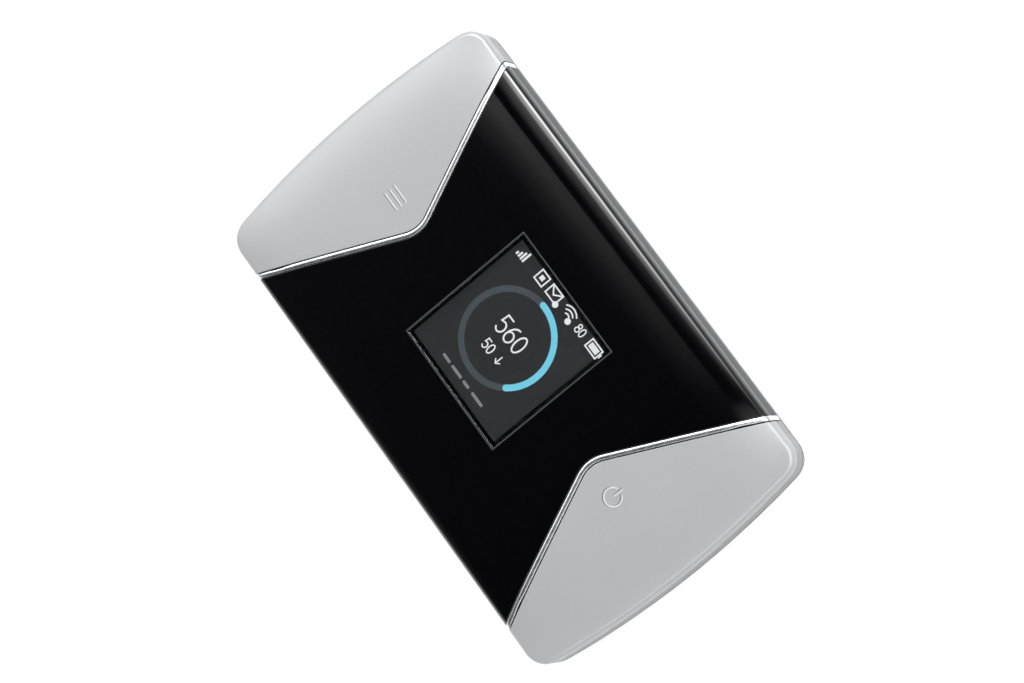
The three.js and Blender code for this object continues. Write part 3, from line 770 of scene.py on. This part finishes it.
def cover_outline(inset, n_end=30, n_corner=14, n_side=20):
    r = max(CORNER_R - inset, 4.0)
    cy = HALF_W - inset - r
    cx = END_CX + math.sqrt((END_R - inset - r) ** 2 - cy ** 2)
    turn = math.atan2(cy, cx - END_CX)
    quarter = []
    for i in range(n_end):
        a = turn * i / n_end
        quarter.append((END_CX + (END_R - inset) * math.cos(a), (END_R - inset) * math.sin(a)))
    for i in range(n_corner):
        a = turn + (math.pi / 2 - turn) * i / n_corner
        quarter.append((cx + r * math.cos(a), cy + r * math.sin(a)))
    quarter += [(cx * (1 - i / n_side), HALF_W - inset) for i in range(n_side)]
    left = [(0, HALF_W - inset)] + [(-x, y) for x, y in quarter[:0:-1]]
    upper = quarter + left
    return upper + [(inset - HALF_L, 0)] + [(x, -y) for x, y in upper[:0:-1]]


def cover_profile():
    """Heights and insets of the cover's flank: a smooth curve through COVER_KEYS, then the rim."""
    smooth, last = [], len(COVER_KEYS) - 1
    for k in range(last):
        p0, p1 = COVER_KEYS[max(k - 1, 0)], COVER_KEYS[k]
        p2, p3 = COVER_KEYS[k + 1], COVER_KEYS[min(k + 2, last)]
        for t in spread(0, 1, 3)[:-1]:
            smooth.append(tuple(
                0.5 * (2 * p1[j] + (p2[j] - p0[j]) * t
                       + (2 * p0[j] - 5 * p1[j] + 4 * p2[j] - p3[j]) * t * t
                       + (3 * p1[j] - p0[j] - 3 * p2[j] + p3[j]) * t ** 3) for j in (0, 1)))
    rim = RIM_Z - COVER_BEVEL - SEAM
    return [(max(z, 0.0), max(d, 0.0)) for z, d in smooth] + [(7.3, 0), (7.75, 0), (rim, 0)]


def build_cover():
    """The rear cover: a flat bottom of growing rings, and the rounded flank up to the rim."""
    base = cover_outline(BOTTOM_INSET)
    count = len(base)
    rings = [[(x * s, y * s, 0.0) for x, y in base] for s in (0.04, 0.2, 0.4, 0.6, 0.8, 0.93)]
    for z, inset in cover_profile():
        ring = []
        for x, y in cover_outline(inset):
            if x < 0 and z > SCOOP_LOW and abs(y) < SCOOP_HALF:
                fall = 1 - (abs(y) / SCOOP_HALF) ** 4
                x += SCOOP_DEPTH * fall * min(1, (z - SCOOP_LOW) / 1.2)
            ring.append((x, y, z))
        rings.append(ring)
    verts = [point for ring in rings for point in ring]
    faces = []
    for k in range(len(rings) - 1):
        for i in range(count):
            j = (i + 1) % count
            a, c = k * count, (k + 1) * count
            faces.append((a + i, a + j, c + j, c + i))
    hub = len(verts)
    verts.append((0, 0, 0))
    faces += [(hub, (i + 1) % count, i) for i in range(count)]
    return make_shell("cover_shell", verts, faces, 1.0, COVER_BEVEL)


TAB_INSET, TAB_LENGTH = 3.6, 5.0
TAB_SECTION = [(-0.4, 6.4), (2.8, 6.4), (2.8, 7.9), (0.4, 7.9), (0.4, 9.7), (0.2, 9.9),
               (-0.2, 9.9), (-0.4, 9.7)]  # across from inside to outside, and height
# Place along a long side, and which side: -Y has none in the middle, by the charging socket.
SIDE_TABS = [(-30, 1), (0, 1), (30, 1), (-30, -1), (30, -1)]
END_TABS_Y = 18


def build_tabs():
    """The rear cover's snap tabs: a foot on the wall and an upright tongue, as in the CAD."""
    half, paths = TAB_LENGTH / 2, []
    for x, side in SIDE_TABS:
        paths.append([(x + side * v, side * (HALF_W - TAB_INSET)) for v in (-half, half)])
    for end in (-1, 1):
        for y in (-END_TABS_Y, END_TABS_Y):
            ys = [y - end * v for v in spread(-half, half, 4)]
            paths.append([(end * (END_CX + math.sqrt((END_R - TAB_INSET) ** 2 - v ** 2)), v)
                          for v in ys])
    verts, faces = [], []
    for path in paths:
        sweep(verts, faces, path, TAB_SECTION, lambda x, y: 0, round_ends=False)
    return make_object("cover_tabs", verts, faces, smooth=False)


# ------------------------------------------------------------------ the pieces, and the CAD's own
place(build_panel(), "housing", gloss_black, "front_panel", slot="front_panel")
place(build_lens(), "housing", lens_glass, "display_lens", slot="display_lens")
place(build_border(), "housing", border_metal, slot="front_panel")
place(build_trim(-1), "housing", chrome, "left_trim", slot="left_trim")
place(build_trim(1), "housing", chrome, "right_trim", slot="right_trim")
KEYS = ((-1, "menu_key", "menu_wing"), (1, "power_key", "power_wing"))
for side, body, wing in KEYS:
    place(build_key(side), body, silver, wing, slot=wing)
# Each mark: a raised rib in the painted-highlight tone, over a lower rib shifted towards -X in the
# painted-shadow tone.
for side, body, wing in KEYS:
    place(build_symbol(side, 0.05, 0.4, 0.11), body, symbol_highlight_paint, slot=wing)
    place(build_symbol(side, -0.14, 0.3, 0.05, "_groove"), body, symbol_shadow_paint, slot=wing)
place(build_cover(), "back_cover", cover_paint, "rear_cover", slot="rear_cover")
place(build_tabs(), "back_cover", cover_paint, slot="rear_cover")
build_picture()

CAD_FINISHES = (
    (gunmetal, ["front_frame"]),
    (board, ["main_board"]),
    (steel, ["modem_shield", "radio_shield", "power_shield", "usb_port", "sim_socket",
             "memory_card_socket", "lcd_frame"]),
    (chip_black, ["processor_chip", "memory_chip", "menu_switch", "power_switch", "reset_switch"]),
    (plunger_white, ["menu_plunger", "power_plunger"]),
    (gold, ["main_antenna", "diversity_antenna", "wifi_antenna_upper", "wifi_antenna_lower",
            "battery_contacts"]),
    (black_plastic, ["rear_chassis"]),
    (button_grey, ["reset_button"]),
    (wrap, ["battery"]),
    (label_paper, ["battery_label"]),
    (foam, ["lcd_gasket"]),
    (lcd_margin, ["lcd_panel"]),
    (guide_white, ["backlight"]),
    (flex_amber, ["lcd_flex"]),
    (screw_steel, [f"screw_{i}" for i in range(1, 7)]),
)
for material, names in CAD_FINISHES:
    for name in names:
        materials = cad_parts[name].data.materials
        materials.clear()
        materials.append(material)

# ------------------------------------------------------------------ stage, light, camera
bpy.ops.mesh.primitive_plane_add(size=6, location=(0, 0, -0.0005))
floor = bpy.context.object
floor.name = "studio_floor"
floor.data.materials.append(
    finish("studio_floor", srgb(228, 228, 228), 0.85, grain=60, colour_spread=0.01, bump=0.0))


def add_softbox(name, location, width, height, power=5):
    """A soft lamp that points at the object. It lights, and isn't mirrored in gloss or glass."""
    light = bpy.data.lights.new(name, "AREA")
    light.energy = power
    light.shape = "RECTANGLE"
    light.size, light.size_y = width, height
    obj = bpy.data.objects.new(name, light)
    obj.visible_glossy = obj.visible_transmission = False
    obj.location = location
    obj.rotation_euler = (-Vector(location)).to_track_quat("-Z", "Y").to_euler()
    scene.collection.objects.link(obj)


add_softbox("fill_softbox", (-0.9, 0.15, 0.45), 0.5, 0.5)
add_softbox("low_softbox", (0.5, -0.85, 0.4), 0.6, 0.4)
add_softbox("rear_softbox", (0.3, 0.95, 0.35), 0.6, 0.4)

# The studio round the object, by the direction (x, y, z) of unit length: dark overhead, a bright
# diffuser on the +Y, -X side whose near edge has a faint glow and a dark gap before it, a glow at
# each end and one towards the +X, +Y corner, and an even pale surround low down.
DIFFUSER, SURROUND, END_GLOW, FAR_GLOW, CORNER_GLOW = 8.0, 0.75, 4.2, 2.8, 5.2
SLANT, SLANT_X = 0.47, -0.236  # the diffuser's edge runs at an angle to X
REACH, PEAK = 0.8, 1.6  # how far PROFILE goes to either side, and its highest share
PROFILE = [  # how far towards +Y, and the share of the diffuser's brightness
    (-0.8, 0.1), (-0.74, 0.05), (-0.68, 0.004), (-0.4, 0.002), (-0.2, 0.002), (-0.148, 0.0042),
    (-0.076, 0.0225), (-0.007, 0.046), (0.055, 0.046), (0.065, 0.0), (0.115, 0.0), (0.142, 0.016),
    (0.203, 0.11), (0.262, 0.55), (0.3, 1.0), (0.34, 1.6), (0.56, 1.6), (0.7, 0.12), (0.8, 0.1),
]


def build_world():
    world = bpy.data.worlds.new("studio")
    scene.world = world
    world.use_nodes = True
    nodes, links = world.node_tree.nodes, world.node_tree.links

    def maths(operation, a, b):
        node = nodes.new("ShaderNodeMath")
        node.operation = operation
        for socket, value in zip(node.inputs, (a, b)):
            if isinstance(value, (int, float)):
                socket.default_value = value
            else:
                links.new(value, socket)
        return node.outputs[0]

    def ranged(value, low, high, to_low=0.0, to_high=1.0):
        node = set_inputs(nodes.new("ShaderNodeMapRange"), From_Min=low, From_Max=high,
                          To_Min=to_low, To_Max=to_high)
        links.new(value, node.inputs["Value"])
        return node.outputs["Result"]

    coords = nodes.new("ShaderNodeTexCoord")
    split = nodes.new("ShaderNodeSeparateXYZ")
    links.new(coords.outputs["Generated"], split.inputs[0])
    x, y, z = split.outputs
    slanted = maths("SUBTRACT", y, maths("MULTIPLY", maths("SUBTRACT", x, SLANT_X), SLANT))
    ramp = nodes.new("ShaderNodeValToRGB")
    links.new(ranged(slanted, -REACH, REACH), ramp.inputs["Fac"])
    elements = ramp.color_ramp.elements
    while len(elements) > 1:
        elements.remove(elements[0])
    for k, (towards_y, share) in enumerate(PROFILE):
        at = (towards_y + REACH) / (2 * REACH)
        element = elements.new(at) if k else elements[0]
        element.position = at
        element.color = (share / PEAK, share / PEAK, share / PEAK, 1)
    across = ranged(x, -0.17, -0.3, 0.06)
    diffuser = maths("MULTIPLY", maths("MULTIPLY", ramp.outputs["Color"], across), DIFFUSER * PEAK)
    surround = maths("MULTIPLY", ranged(z, 0.62, 0.42), SURROUND)
    end_glow = maths("MULTIPLY", ranged(x, -0.42, -0.62), END_GLOW)
    far_glow = maths("MULTIPLY", ranged(x, 0.3, 0.58), FAR_GLOW)
    corner = maths("MULTIPLY", ranged(x, -0.16, -0.06), ranged(y, 0.02, 0.3))
    corner_glow = maths("MULTIPLY", corner, CORNER_GLOW)
    lamps = maths("MAXIMUM", maths("MAXIMUM", diffuser, corner_glow),
                  maths("MAXIMUM", end_glow, far_glow))
    lamps = maths("MULTIPLY", lamps, ranged(z, 0.48, 0.68))
    nodes["Background"].inputs["Color"].default_value = (1, 1, 1, 1)
    links.new(maths("MAXIMUM", lamps, surround), nodes["Background"].inputs["Strength"])


build_world()

# The photograph's view: where the camera stands over the middle of the front's edge plane, in
# metres, and which ways are back from the object and up in the picture.
CAMERA_AT = (0.1452, 0.1642, 0.5938)
BACK, UP = Vector((0.2293, 0.2573, 0.9388)), Vector((-0.78624, 0.61750, 0.02278))
camera = bpy.data.cameras.new("camera")
camera.lens, camera.sensor_width = 115.5, 36
camera.clip_start, camera.clip_end = 0.05, 20
eye = bpy.data.objects.new("camera", camera)
back = BACK.normalized()
right = UP.cross(back).normalized()
turned = Matrix((right, back.cross(right), back)).transposed().to_4x4()
x, y, z = CAMERA_AT
eye.matrix_world = Matrix.Translation((x, y, z + EDGE_Z * MM)) @ turned
scene.collection.objects.link(eye)
scene.camera = eye
scene.view_settings.view_transform = "Standard"
